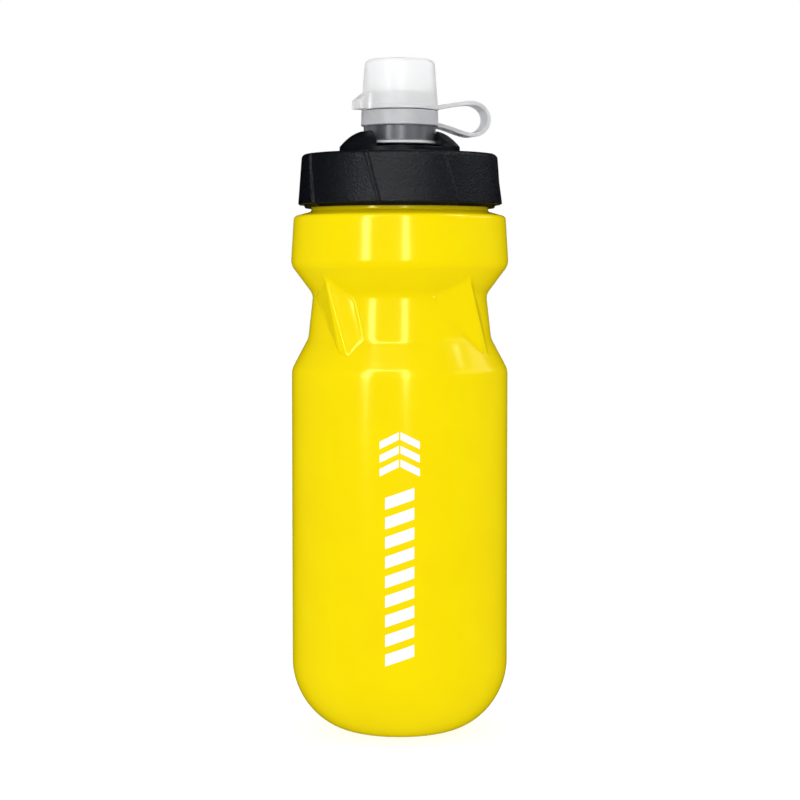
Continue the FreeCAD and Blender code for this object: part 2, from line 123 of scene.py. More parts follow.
# Beyond its rim a grip falls away, with one slope past the facet's sides and one past the rest.
# A side is counted by its first corner.
GRIP_EDGE_SLOPE = (3.5, 1.6)
GRIP_FACET_SIDES = (3, 4, 5)
GRIP_EDGE_ROUNDING = 0.3

# The fillet round a grip: on the facet's side, and beyond the ridge at its foot and high up. It
# changes over a span of degrees from the ridge and over a span of heights.
GRIP_FILLET = 0.5
GRIP_FOOT_FILLET = 0.9
GRIP_SIDE_FILLET = 2.8
GRIP_RIDGE_SPAN = (-4.0, 4.0)
GRIP_FOOT_SPAN = (131.0, 141.0)

# Screw threads: where they start, and the degrees over which an end rises to the full height.
# Each thread has its crest's radius, the height of its start's middle, and its turns.
THREAD_PITCH = 5.0
THREAD_WIDTH = 2.4
THREAD_FLANK = 0.75
THREAD_AZIMUTH = 90.0
THREAD_RUNOUT = 20.0
NECK_THREAD = (30.9, 181.2, 1.25)
LID_THREAD = (30.2, 178.7, 1.5)

# The lid's thread keeps a margin below the deck, and stands on points this near the bore's radius
THREAD_MARGIN = 0.4
BORE_TOLERANCE = 0.02

# Lid
LID_BOTTOM = low_mm("lid_shell")[2]
LID_TOP = high_mm("lid_shell")[2]
LID_DECK = 1.8
LID_RADIUS_BOTTOM = 34.6
LID_RADIUS_TOP = 33.2
LID_BORE = 31.5
LID_CORNER = 1.5
LID_HOLE = 14.1
LID_PLUG = (25.8, 26.8)
LID_PLUG_DEPTH = 5.0
LID_ROW = 1.2

# A black rim hung under the lid's bore, a dark piece put where the neck lies in shade under the lid: how
# low it hangs, and where its slope starts and ends
LID_SHADE_RIM = (1.1, 0.4, 1.3)

# Steps round the lid, each with a small raised lip; they start a little outside the bore
LID_STEPS = 8
LID_STEP_DEPTH = 0.7
LID_STEP_ROUNDING = 0.3
LID_STEP_AZIMUTH = -18.5
LID_STEP_SLANT = 8.5
LID_STEP_START = 0.2
LID_LIP_REACH = 0.4
LID_LIP_HEIGHT = 0.24
FACET_COLUMNS = 14

# Gasket: inner radius, outer radius and rounding
GASKET = (27.0, 31.2, 0.2)

# Spout collar: the dome's line over the wings runs through three places
COLLAR_RADIUS = high_mm("spout_collar")[0]
COLLAR_BORE = 13.0
COLLAR_FLOOR = LID_TOP + 2.1
COLLAR_REST = LID_TOP + 0.02
DOME_LINE = [(COLLAR_BORE, 201.7), (17.0, 199.75), (COLLAR_RADIUS, 196.6)]
WING_EDGE = 0.45
WING_SIDE_EDGE = 0.35
WING_SINK = 0.5
WING_SECTIONS = 61
WING_ARC_POINTS = 12
SLOT_HALF_WIDTH = 10.75
SLOT_AZIMUTH = 11.4

# The collar's spigot through the lid: bore, radius and depth, and the bead that snaps under the deck
SPIGOT = (12.8, 14.0)
SPIGOT_DEPTH = 4.5
SNAP_RADIUS = 14.6
SNAP_SLOPE_DEPTH = 2.6
SNAP_GAP = 0.1

# The collar's stem, its lip (radius, start and end of the slope), and the pin on four spokes
STEM = (7.2, 8.75)
STEM_TOP = 208.8
STEM_LIP = (9.1, 204.9, 205.2)
PIN_RADIUS = 2.25
PIN_ROUNDING = 1.9
PIN_BOTTOM = 207.0
PIN_TOP = high_mm("spout_collar")[2]
PIN_COLUMNS = 32
SPOKE_COUNT = 4
SPOKE_REACH = (1.5, 8.0)
SPOKE_HALF_WIDTH = 0.7

# Nozzle sleeve: the foot, the groove for the ring, the flange over it, the neck and the spout
SLEEVE_BOTTOM = low_mm("nozzle_sleeve")[2]
SLEEVE_TOP = high_mm("nozzle_sleeve")[2]
FOOT_RADIUS = 12.75
FOOT_HEIGHTS = (0.55, 1.3)
FOOT_TAPER = 0.05
# The painted highlight along the sleeve's foot: full below the first height over the bottom, gone above the
# second
RIM_HIGHLIGHT_HEIGHTS = (0.7, 1.1)
SKIRT_RADIUS = 12.1
GROOVE_RADIUS = 11.0
GROOVE_HEIGHTS = (203.4, 208.7)
FLANGE_RADIUS = 11.35
FLANGE_TOP = 209.7
SLEEVE_NECK_RADIUS = 10.9
SLEEVE_NECK_HEIGHTS = (209.9, 214.5)
SPOUT = (6.8, 8.0)
ORIFICE_RADIUS = 2.5
ORIFICE_HEIGHTS = (211.6, 213.0)
SLEEVE_BORE = 9.3
SLEEVE_BEAD_RADIUS = 8.95
SLEEVE_BEAD_HEIGHT = 1.1

# Soft tip: its outside, the socket that sits on the spout, and the mouth
TIP_BOTTOM = low_mm("nozzle_tip")[2]
TIP_TOP = high_mm("nozzle_tip")[2]
TIP_OUTLINE = [(10.6, TIP_BOTTOM, 0.4), (10.2, 216.2, 3.0), (8.7, 219.8, 3.0), (7.3, TIP_TOP, 0.9)]
TIP_SOCKET_RADIUS = 8.1
TIP_SOCKET_TOP = 219.5
TIP_MOUTH_RADIUS = 4.6

# Dust cap: a tapered cup with a rolled rim and a thumb tab
CAP_BOTTOM = low_mm("dust_cap")[2]
CAP_TOP = high_mm("dust_cap")[2]
CAP_RADIUS_BOTTOM = 12.9
CAP_RADIUS_TOP = 11.6
CAP_WALL = 1.15
CAP_RIM = 0.2
CAP_RIM_HEIGHTS = (1.2, 1.6)
CAP_RIM_GROOVE = 0.1
CAP_COLUMNS = 92
CAP_ROW = 2.0
TAB_REACH = 16.4
TAB_LEAN = 0.4
TAB_HALF_WIDTH = 3.8
TAB_ROOT_WIDTH = 1.2
TAB_TIP_HEIGHT = 2.9
TAB_ROOT_HEIGHT = 5.6
TAB_ROOT_SINK = 0.6
TAB_EDGE = 0.3
TAB_TIP_ROUNDING = 0.35
TAB_ROW = 0.5

# Tether: the ring, and the strap's line as (distance from the axis, height) in its upright plane
STRAP_AZIMUTH = 115.0
RING_BOTTOM = low_mm("tether_ring")[2]
RING_TOP = high_mm("tether_ring")[2]
RING_RADIUS = 13.0
RING_BORE = 11.2
RING_OUTLINE = [
    (RING_RADIUS + 0.1, RING_BOTTOM, 0.45),
    (RING_RADIUS - 0.05, RING_BOTTOM + 0.9, 0.5),
    (RING_RADIUS - 0.15, RING_TOP, 0.4),
]
STRAP_WIDTH = 5.5
STRAP_THICKNESS = 1.45
STRAP_ROUNDING = 0.35
RING_ROOT = np.array([12.3, 204.4])
RING_PULL = np.array([5.0, -0.5])
CAP_ROOT = np.array([12.2, 209.8])
CAP_PULL = np.array([4.0, 0.9])
LOOP_CENTRE = np.array([26.0, 206.7])
LOOP_RADII = np.array([6.4, 5.4])
LOOP_ENDS = (-100.0, 96.0)
LOOP_PULL = 4.0
LOOP_POINTS = 50
RUN_STEPS = 18

# Print: a column of slanted bars up the front, under an emblem of chevrons
PRINT_BOTTOM = 29.0
PRINT_TOP = 105.5
PRINT_HALF_WIDTH = 4.7
PRINT_BARS = 9
PRINT_INKED = 0.6
PRINT_SLOPE = 0.35
PRINT_GAP = 6.0
PRINT_LIFT = 0.05
BAR_COLUMNS = 9
BAR_ROWS = 5
EMBLEM_BARS = 3
EMBLEM_HALF_WIDTH = 6.5
EMBLEM_HALF_GAP = 0.3
EMBLEM_PITCH = 4.4
EMBLEM_INKED = 0.55
EMBLEM_SLOPE = 0.5

# Materials: how fine a noise's detail is, and where on it a variation has its two colours
NOISE_DETAIL = 3.0
NOISE_ENDS = (0.3, 0.7)

# Stage, in metres and degrees
WORLD_STRENGTH = 1.08
FLOOR_REACH = 3.0
FLOOR_DROP = 0.0003
FLOOR_GLOW = 0.82
PANEL_DISTANCE = 1.0
PANEL_HEIGHT = 0.14
PANEL_POINTS = 9
LAMP_TARGET = (0, 0, 0.12)
CAMERA_PLACE = (0.0001, -0.72, 0.154)
CAMERA_DIP = 3.37
CAMERA_LENS_MM = 96.0
CAMERA_SENSOR_MM = 36.0

# Backdrop, in millimetres, as it is made by the same functions as the pieces
BACKDROP_REACH = 3000.0
BACKDROP_HOLE = 0.1
BACKDROP_COLUMNS = 48

WHITE = (1, 1, 1, 1)


# ---------------------------------------------------------------- outlines


def unit(v):
    """A vector with a length of 1."""
    return v / np.linalg.norm(v)


def rounded(points, closed=False, turn_step=9.0):
    """Points along a path through (r, z) or (r, z, rounding), with an arc at each rounded corner."""
    corners = [np.array(p[:2], float) for p in points]
    path = []
    for i, corner in enumerate(corners):
        rounding = points[i][2] if len(points[i]) > 2 else 0.0
        if not rounding or (not closed and i in (0, len(corners) - 1)):
            path.append(corner)
            continue
        into = unit(corner - corners[i - 1])
        out = unit(corners[(i + 1) % len(corners)] - corner)
        turn = math.atan2(into[0] * out[1] - into[1] * out[0], into @ out)
        centre = corner + unit(out - into) * rounding / math.cos(turn / 2)
        arm = corner - into * rounding * math.tan(abs(turn) / 2) - centre
        steps = max(2, math.ceil(abs(math.degrees(turn)) / turn_step))
        for k in range(steps + 1):
            a = turn * k / steps
            c, s = math.cos(a), math.sin(a)
            path.append(centre + np.array([arm[0] * c - arm[1] * s, arm[0] * s + arm[1] * c]))
    return np.array(path)


def dense(path, step, low=-math.inf, high=math.inf):
    """The path with its spans divided to at most a step, where they lie between two heights."""
    out = [path[0]]
    for p, q in zip(path, path[1:]):
        inside = max(p[1], q[1]) > low and min(p[1], q[1]) < high
        parts = max(1, math.ceil(np.linalg.norm(q - p) / step)) if inside else 1
        out += [p + (q - p) * k / parts for k in range(1, parts + 1)]
    return np.array(out)


def dense_loop(path, step, **heights):
    """The same for a closed path, whose last point also has a span to the first."""
    return dense(np.vstack([path, path[:1]]), step, **heights)[:-1]


def directions(path):
    """The unit vector along a path at each of its points."""
    along = np.gradient(path, axis=0)
    return along / np.linalg.norm(along, axis=1)[:, None]


def inside_path(path, inset):
    """The path moved to its left by an inset, for a wall's inner side."""
    along = directions(path)
    return path + np.stack([-along[:, 1], along[:, 0]], axis=1) * inset


def smooth_max(a, b, width):
    """The larger of two values, with a fillet of a width where they meet."""
    h = np.clip(width - np.abs(a - b), 0, None) / width
    return np.maximum(a, b) + h * h * width / 4


def smooth_min(a, b, width):
    """The smaller of two values, with a rounding of a width where they meet."""
    return -smooth_max(-a, -b, width)


def share_of(value, span):
    """How far a value has come through a span, from 0 to 1."""
    return np.clip((value - span[0]) / (span[1] - span[0]), 0, 1)


# ---------------------------------------------------------------- meshes


def at_azimuth(radius, azimuth, z):
    """Points at a radius, an azimuth in degrees and a height."""
    a = np.radians(azimuth)
    return np.stack(np.broadcast_arrays(radius * np.sin(a), -radius * np.cos(a), z), axis=-1)


def turned_rings(places, azimuths):
    """Rings of points: a path of (r, z), or a grid of them, at azimuths in degrees."""
    if places.ndim == 2:
        places = places[:, None]
    return at_azimuth(places[..., 0], azimuths, places[..., 1])


def grid_faces(rows, columns, wrap_rows, wrap_columns=True):
    """Quads between neighbouring rings of a grid of points."""
    index = np.arange(rows * columns).reshape(rows, columns)
    if wrap_rows:
        index = np.vstack([index, index[:1]])
    if wrap_columns:
        index = np.hstack([index, index[:, :1]])
    quads = np.stack([index[:-1, :-1], index[:-1, 1:], index[1:, 1:], index[1:, :-1]], axis=-1)
    return quads.reshape(-1, 4).tolist()


class Builder:
    """Gathers grids of points in millimetres into one mesh."""

    def __init__(self):
        self.vertices = []
        self.faces = []

    def add(self, vertices, faces):
        """Vertices of any shape, and faces that count from the first of them."""
        start = len(self.vertices)
        self.vertices += (np.asarray(vertices, float).reshape(-1, 3) * MM).tolist()
        self.faces += [[start + i for i in face] for face in faces]

    def rings(self, rings, wrap_rows=True, caps=False):
        """A skin over rings of points, closed round each ring, and capped or joined end to end."""
        rows, columns = rings.shape[:2]
        faces = grid_faces(rows, columns, wrap_rows)
        if caps:
            last = (rows - 1) * columns
            faces.append(list(range(columns))[::-1])
            faces.append([last + i for i in range(columns)])
        self.add(rings, faces)

    def lathe(self, points, columns=128):
        """The solid of revolution of a closed profile of (r, z) or (r, z, rounding)."""
        path = rounded(points, closed=True)
        self.rings(turned_rings(path, np.arange(columns) * 360.0 / columns))

    def finish(self, name, sharp=30.0):
        """The mesh object, cleaned, with its faces turned outward and shaded smooth."""
        mesh = bpy.data.meshes.new(name)
        mesh.from_pydata(self.vertices, [], self.faces)
        work = bmesh.new()
        work.from_mesh(mesh)
        bmesh.ops.remove_doubles(work, verts=work.verts, dist=MERGE_DISTANCE)
        bmesh.ops.dissolve_degenerate(work, edges=work.edges, dist=SLIVER_LENGTH)
        bmesh.ops.recalc_face_normals(work, faces=work.faces)
        work.to_mesh(mesh)
        work.free()
        mesh.shade_smooth()
        mesh.set_sharp_from_angle(angle=math.radians(sharp))
        piece = bpy.data.objects.new(name, mesh)
        bpy.context.scene.collection.objects.link(piece)
        weights = piece.modifiers.new("even_shading", "WEIGHTED_NORMAL")
        weights.keep_sharp = True
        return piece


# ---------------------------------------------------------------- bottle


def base_corner():
    """The rounded base corner, a superellipse quarter from the base ring to the side."""
    a = np.linspace(0, math.pi / 2, BASE_CORNER_POINTS)[1:-1]
    start = BASE_DIMPLE[-1][0]
    across = np.sin(a) ** (2 / BASE_CORNER_POWER)
    up = 1 - np.cos(a) ** (2 / BASE_CORNER_POWER)
    return [(start + (BODY_RADIUS - start) * x, BASE_CORNER_HEIGHT * z) for x, z in zip(across, up)]


def grip_turn(azimuth):
    """An azimuth as degrees from the nearest grip's own."""
    span = 360.0 / GRIP_COUNT
    return (azimuth - GRIP_AZIMUTH + span / 2) % span - span / 2


def grip_slant(z):
    """How far the ridges, and the bottle's columns with them, have leant at a height, in degrees."""
    top, foot = GRIP_RIM[0][2], GRIP_RIM[3][2]
    return np.clip((top - z) / (top - foot), 0, 1) * GRIP_SLANT


def grip_planes():
    """The four planes of one grip as normals and distances, each through the ridge's top."""
    rim = [at_azimuth(radius, turn, z) for turn, radius, z in GRIP_RIM]
    planes = []
    for a, b in zip(rim[1:], rim[2:]):
        normal = np.cross(a - rim[0], b - rim[0])
        normal *= -np.sign(normal[1])
        planes.append((normal, normal @ rim[0]))
    return planes


def grip_radius(azimuth, z, inset):
    """The radius of the slanted grips at an azimuth and height, well inside where there is none."""
    a = np.radians(grip_turn(azimuth))
    radius = None
    for normal, distance in grip_planes():
        reach = (distance - normal[2] * z) / (normal[0] * np.sin(a) - normal[1] * np.cos(a))
        radius = reach if radius is None else smooth_min(radius, reach, GRIP_RIDGE_BLEND)
    rim = np.array([(math.radians(t) * GRIP_MEAN_RADIUS, h) for t, _, h in GRIP_RIM])
    x = a * GRIP_MEAN_RADIUS
    drop = np.zeros(np.shape(z))
    for i, (p, q) in enumerate(zip(rim, np.roll(rim, -1, axis=0))):
        side = unit(q - p)
        outside = side[0] * (z - p[1]) - side[1] * (x - p[0])
        slope = GRIP_EDGE_SLOPE[0 if i in GRIP_FACET_SIDES else 1]
        drop = smooth_max(drop, outside * slope, GRIP_EDGE_ROUNDING)
    return radius - np.clip(drop - GRIP_EDGE_ROUNDING / 4, 0, None) - inset


def grip_blend(azimuth, z):
    """The fillet round a grip, tight along the facet's side and soft high up beyond the ridge."""
    beyond = share_of(grip_turn(azimuth) - grip_slant(z), GRIP_RIDGE_SPAN)
    high = share_of(z, GRIP_FOOT_SPAN)
    side = GRIP_FOOT_FILLET + (GRIP_SIDE_FILLET - GRIP_FOOT_FILLET) * high
    return GRIP_FILLET + (side - GRIP_FILLET) * beyond


def thread_height(azimuths, z, start, turns):
    """How much of a screw thread's height stands at an azimuth and height, from 0 to 1."""
    height = np.zeros(np.shape(z))
    for lap in range(math.ceil(turns) + 1):
        travelled = ((azimuths - THREAD_AZIMUTH) % 360.0) / 360.0 + lap
        middle = start + THREAD_PITCH * travelled
        from_end = np.minimum(travelled, turns - travelled) * 360.0
        ramp = np.clip(from_end / THREAD_RUNOUT, 0, 1)
        flank = np.clip((THREAD_WIDTH / 2 - np.abs(z - middle)) / THREAD_FLANK, 0, 1)
        height = np.maximum(height, flank * ramp)
    return height


def bottle_rings():
    """The bottle's whole skin, from the middle of its base up the outside and down the inside."""
    lip_bottom = NECK_TOP - NECK_LIP_DEPTH
    side = BASE_DIMPLE + base_corner() + BODY_OUTLINE
    outer = rounded(side + [(NECK_RADIUS, lip_bottom)], turn_step=6.0)
    outer = dense(outer, WAIST_ROW, *WAIST)
    outer = dense(outer, NECK_ROW, LID_BOTTOM, NECK_TOP)
    outer = dense(outer, BODY_ROW)
    lip_top = [(NECK_RADIUS, NECK_TOP, 0.6), (NECK_BORE, NECK_TOP, 0.5)]
    lip = rounded([(NECK_RADIUS, lip_bottom)] + lip_top + [(NECK_BORE, lip_bottom)])
    shell = inside_path(outer[outer[:, 1] < EVEN_WALL_TOP], WALL)
    shell[0] = (0.0, shell[0][1])
    neck_inside = rounded([tuple(shell[-1])] + NECK_INSIDE)
    path = np.vstack([outer, lip[1:], neck_inside[::-1], shell[::-1][1:]])
    outside_rows = np.arange(len(path)) < len(outer)
    inside_rows = np.arange(len(path)) > len(path) - len(shell)

    z = np.broadcast_to(path[:, 1:], (len(path), BODY_COLUMNS))
    radius = np.broadcast_to(path[:, :1], z.shape)
    azimuths = GRIP_AZIMUTH + np.arange(BODY_COLUMNS) * 360.0 / BODY_COLUMNS + grip_slant(z)
    in_zone = (z > GRIP_ZONE[0]) & (z < GRIP_ZONE[1])
    for rows, inset in ((outside_rows, 0.0), (inside_rows, WALL)):
        grips = smooth_max(radius, grip_radius(azimuths, z, inset), grip_blend(azimuths, z))
        radius = np.where(rows[:, None] & in_zone, grips, radius)
    crest, start, turns = NECK_THREAD
    thread = thread_height(azimuths, z, start, turns) * (crest - NECK_RADIUS)
    on_neck = outside_rows[:, None] & (z > LID_BOTTOM)
    radius = np.where(on_neck, radius + thread, radius)
    return turned_rings(np.stack([radius, z], axis=-1), azimuths)


def make_bottle():
    """The blow-moulded body with its waist, grips and threaded neck."""
    skin = Builder()
    skin.rings(bottle_rings(), wrap_rows=False)
    piece = skin.finish("bottle_shell", sharp=40.0)
    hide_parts("bottle_body")
    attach(piece, "bottle")
    return piece


# ---------------------------------------------------------------- print


def bar(builder, bottom, height, left, right, slope):
    """One bar of ink on the bottle's side, a thin closed patch whose ends slope."""
    x, rise = np.meshgrid(np.linspace(left, right, BAR_COLUMNS), np.linspace(0, height, BAR_ROWS))
    z = bottom + rise + slope * x
    azimuth = np.degrees(x / BODY_RADIUS)
    skins = [at_azimuth(BODY_RADIUS + lift, azimuth, z) for lift in (PRINT_LIFT, -PRINT_LIFT)]
    quads = grid_faces(*x.shape, wrap_rows=False, wrap_columns=False)
    faces = quads + [[x.size + i for i in face[::-1]] for face in quads]
    index = np.arange(x.size).reshape(x.shape)
    edge = [*index[0], *index[1:, -1], *index[-1, -2::-1], *index[-2:0:-1, 0]]
    for a, b in zip(edge, edge[1:] + edge[:1]):
        faces.append([int(a), int(x.size + a), int(x.size + b), int(b)])
    builder.add(np.array(skins), faces)


def make_print():
    """A generic graphic: slanted bars up the front, under three chevrons."""
    ink = Builder()
    height = EMBLEM_PITCH * EMBLEM_INKED
    for i in range(EMBLEM_BARS):
        bottom = PRINT_TOP - EMBLEM_PITCH * (i + 1)
        bar(ink, bottom, height, -EMBLEM_HALF_WIDTH, -EMBLEM_HALF_GAP, EMBLEM_SLOPE)
        bar(ink, bottom, height, EMBLEM_HALF_GAP, EMBLEM_HALF_WIDTH, -EMBLEM_SLOPE)
    top = PRINT_TOP - EMBLEM_PITCH * EMBLEM_BARS - PRINT_GAP
    pitch = (top - PRINT_BOTTOM) / PRINT_BARS
    for i in range(PRINT_BARS):
        bottom = PRINT_BOTTOM + pitch * i
        bar(ink, bottom, pitch * PRINT_INKED, -PRINT_HALF_WIDTH, PRINT_HALF_WIDTH, PRINT_SLOPE)
    piece = ink.finish("print_bars")
    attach(piece, "bottle")
    return piece


# ---------------------------------------------------------------- lid


def facet_columns():
    """Where the columns of one facet stand, as shares of it from its step, and how deep each is."""
    length = math.pi * (LID_RADIUS_BOTTOM + LID_RADIUS_TOP) / LID_STEPS
    r = LID_STEP_ROUNDING
    # Columns crowd at both steps and over the lip, whose crest is on the middle of five.
    near = np.array([0.02, 0.15, 0.4, 1.0]) * r
    even = np.linspace(0, length, FACET_COLUMNS + 2)[1:-1]
    lip = length - r - LID_LIP_REACH * np.array([2.0, 1.6, 1.2, 0.8, 0.4])
    places = np.concatenate([near, even, lip, length - near[::-1]])
    depth = LID_STEP_DEPTH * (1 - places / length)
    from_step = np.clip(r - places, 0, r)
    to_step = np.clip(r - (length - places), 0, r)
    depth -= r - np.sqrt(r * r - from_step**2)
    depth += r - np.sqrt(r * r - to_step**2)
    depth -= LID_LIP_HEIGHT * np.clip(1 - ((places - lip[2]) / LID_LIP_REACH) ** 2, 0, None)
    return places / length, depth


def lid_rings():
    """The lid's whole skin: stepped skirt, deck, hole, seal plug and threaded bore."""
    deck_bottom = LID_TOP - LID_DECK
    plug_bottom = deck_bottom - LID_PLUG_DEPTH
    plug_in, plug_out = LID_PLUG
    shade_drop, shade_low, shade_high = LID_SHADE_RIM
    shade_bottom = LID_BOTTOM - shade_drop
    profile = [
        (LID_RADIUS_BOTTOM, LID_BOTTOM, 0.35),
        (LID_RADIUS_TOP, LID_TOP, LID_CORNER),
        (LID_HOLE, LID_TOP, 0.3),
        (LID_HOLE, deck_bottom, 0.2),
        (plug_in, deck_bottom, 0.3),
        (plug_in, plug_bottom, 0.3),
        (plug_out, plug_bottom, 0.3),
        (plug_out, deck_bottom, 0.3),
        (LID_BORE, deck_bottom, 0.3),
        # The dark rim that stands in for the shade under the lid, hung below its skirt
        (LID_BORE, shade_bottom, 0.2),
        (LID_BORE + shade_low, shade_bottom, 0.2),
        (LID_BORE + shade_high, LID_BOTTOM, 0.1),
    ]
    path = dense_loop(rounded(profile, closed=True), LID_ROW)
    share, depth = facet_columns()
    facets = np.concatenate([(i + share) * 360.0 / LID_STEPS for i in range(LID_STEPS)])
    depth = np.tile(depth, LID_STEPS)
    radius, z = path[:, :1], path[:, 1:]
    slant = LID_STEP_SLANT * (LID_TOP - z) / (LID_TOP - LID_BOTTOM)
    azimuths = LID_STEP_AZIMUTH + facets + slant
    on_skirt = np.clip(radius - LID_BORE - LID_STEP_START, 0, 1)
    radius = radius - depth * on_skirt
    z = np.broadcast_to(z, radius.shape)
    crest, start, turns = LID_THREAD
    thread = thread_height(azimuths, z, start, turns) * (LID_BORE - crest)
    on_bore = (np.abs(radius - LID_BORE) < BORE_TOLERANCE) & (z < deck_bottom - THREAD_MARGIN)
    radius = np.where(on_bore, radius - thread, radius)
    return turned_rings(np.stack([radius, z], axis=-1), azimuths)


def make_lid():
    """The screw lid."""
    skin = Builder()
    skin.rings(lid_rings())
    piece = skin.finish("lid_cover", sharp=35.0)
    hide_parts("lid_shell")
    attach(piece, "lid")
    return piece


def make_gasket():
    """The flat seal between the neck's rim and the lid."""
    inner, outer, rounding = GASKET
    bottom, top = low_mm("lid_gasket")[2], high_mm("lid_gasket")[2]
    corners = [(inner, bottom), (outer, bottom), (outer, top), (inner, top)]
    ring = Builder()
    ring.lathe([(r, z, rounding) for r, z in corners])
    piece = ring.finish("gasket_ring")
    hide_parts("lid_gasket")
    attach(piece, "gasket")
    return piece


# ---------------------------------------------------------------- spout collar


def wing_rings(side):
    """Sections across one wing, from tip to tip, each a closed loop from the slot's edge outward."""
    dome = np.polyfit(*np.transpose(DOME_LINE), 2)
    edge = WING_EDGE
    outer = COLLAR_RADIUS
    outer_top = np.polyval(dome, outer)
    bottom = COLLAR_FLOOR - WING_SINK
    widest = math.acos(SLOT_HALF_WIDTH / (outer - 2.2 * edge))
    turns = np.sin(np.linspace(-math.pi / 2, math.pi / 2, WING_SECTIONS)) * widest
    rings = []
    # The dome's inner edge is rounded in two steps, and its outer edge is cut off in two.
    for turn in turns:
        inner = max(COLLAR_BORE, SLOT_HALF_WIDTH / math.cos(turn))
        near = inner + edge * 0.3
        section = [(inner, bottom), (inner, np.polyval(dome, inner) - edge)]
        section += [(near, np.polyval(dome, near) - edge * 0.3)]
        arc = np.linspace(inner + edge, outer - edge * 0.6, WING_ARC_POINTS)
        section += [(r, np.polyval(dome, r)) for r in arc]
        section += [(outer - edge * 0.15, outer_top + 0.02), (outer, outer_top - WING_SIDE_EDGE)]
        section += [(outer, bottom)]
        r, z = np.transpose(section)
        rings.append(at_azimuth(r, math.degrees(turn) + side * 90.0 + SLOT_AZIMUTH, z))
    return np.array(rings)


def collar_profile():
    """The collar without its wings: spigot, floor and stem."""
    spigot_bore, spigot_radius = SPIGOT
    spigot_bottom = LID_TOP - SPIGOT_DEPTH
    snap_top = LID_TOP - LID_DECK - SNAP_GAP
    stem_bore, stem_radius = STEM
    lip_radius, lip_start, lip_full = STEM_LIP
    return [
        (stem_bore, LID_TOP),
        (spigot_bore, LID_TOP, 0.3),
        (spigot_bore, spigot_bottom, 0.3),
        (spigot_radius, spigot_bottom, 0.3),
        (SNAP_RADIUS, LID_TOP - SNAP_SLOPE_DEPTH, 0.2),
        (SNAP_RADIUS, snap_top, 0.1),
        (spigot_radius, snap_top, 0.1),
        (spigot_radius, COLLAR_REST, 0.1),
        (COLLAR_RADIUS, COLLAR_REST, 0.3),
        (COLLAR_RADIUS, COLLAR_FLOOR, 0.5),
        (stem_radius, COLLAR_FLOOR, 0.4),
        (stem_radius, lip_start, 0.1),
        (lip_radius, lip_full, 0.1),
        (lip_radius, STEM_TOP, 0.3),
        (stem_bore, STEM_TOP, 0.3),
    ]


def spoke_rings(turn):
    """The lower and the upper outline of one spoke between the pin and the stem."""
    near, far = SPOKE_REACH
    w = SPOKE_HALF_WIDTH
    outline = [(near, -w), (far, -w), (far, w), (near, w)]
    spoke = np.array([[(x, y, z) for x, y in outline] for z in (PIN_BOTTOM, STEM_TOP)])
    c, s = math.cos(math.radians(turn)), math.sin(math.radians(turn))
    return spoke @ np.array([[c, s, 0], [-s, c, 0], [0, 0, 1]])


def make_collar():
    """The dome with two wings round the nozzle, with the stem and the plug pin inside it."""
    body = Builder()
    body.lathe(collar_profile())
    for side in (-1, 1):
        body.rings(wing_rings(side), wrap_rows=False, caps=True)
    pin = [(0, PIN_BOTTOM), (PIN_RADIUS, PIN_BOTTOM), (PIN_RADIUS, PIN_TOP, PIN_ROUNDING), (0, PIN_TOP)]
    body.lathe(pin, columns=PIN_COLUMNS)
    for i in range(SPOKE_COUNT):
        body.rings(spoke_rings(i * 360.0 / SPOKE_COUNT), wrap_rows=False, caps=True)
    piece = body.finish("collar_wings", sharp=35.0)
    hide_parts("spout_collar")
    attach(piece, "lid")
    return piece


# ---------------------------------------------------------------- nozzle


def make_sleeve():
    """The hard sleeve that is pulled up: foot, ring groove, neck, spout, orifice and bore."""
    foot_low, foot_high = (SLEEVE_BOTTOM + height for height in FOOT_HEIGHTS)
    groove_bottom, groove_top = GROOVE_HEIGHTS
    neck_bottom, neck_top = SLEEVE_NECK_HEIGHTS
    spout_bore, spout_radius = SPOUT
    web_bottom, web_top = ORIFICE_HEIGHTS
    bead_top = SLEEVE_BOTTOM + SLEEVE_BEAD_HEIGHT
    body = Builder()
    body.lathe(
        [
            (SLEEVE_BEAD_RADIUS, SLEEVE_BOTTOM, 0.2),
            (FOOT_RADIUS, SLEEVE_BOTTOM, 0.25),
            (FOOT_RADIUS - FOOT_TAPER, foot_low, 0.25),
            (SKIRT_RADIUS, foot_high, 0.6),
            (SKIRT_RADIUS, groove_bottom, 0.15),
            (GROOVE_RADIUS, groove_bottom, 0.15),
            (GROOVE_RADIUS, groove_top, 0.15),
            (FLANGE_RADIUS, groove_top, 0.1),
            (FLANGE_RADIUS, FLANGE_TOP, 0.4),
            (SLEEVE_NECK_RADIUS, neck_bottom, 0.1),
            (SLEEVE_NECK_RADIUS, neck_top, 0.3),
            (spout_radius, neck_top, 0.1),
            (spout_radius, SLEEVE_TOP, 0.3),
            (spout_bore, SLEEVE_TOP, 0.3),
            (spout_bore, web_top, 0.2),
            (ORIFICE_RADIUS, web_top, 0.2),
            (ORIFICE_RADIUS, web_bottom, 0.2),
            (SLEEVE_BORE, web_bottom, 0.2),
            (SLEEVE_BORE, bead_top, 0.2),
            (SLEEVE_BEAD_RADIUS, bead_top, 0.1),
        ]
    )
    piece = body.finish("nozzle_tube")
    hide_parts("nozzle_sleeve")
    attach(piece, "nozzle")
    return piece


def make_tip():
    """The soft mouthpiece on the sleeve."""
    inside = [
        (TIP_MOUTH_RADIUS, TIP_TOP, 0.5),
        (TIP_MOUTH_RADIUS, TIP_SOCKET_TOP, 0.1),
        (TIP_SOCKET_RADIUS, TIP_SOCKET_TOP, 0.1),
    ]
    body = Builder()
    body.lathe([(TIP_SOCKET_RADIUS, TIP_BOTTOM, 0.1)] + TIP_OUTLINE + inside)
    piece = body.finish("soft_tip")
    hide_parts("nozzle_tip")
    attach(piece, "nozzle")
    return piece


# ---------------------------------------------------------------- dust cap and tether


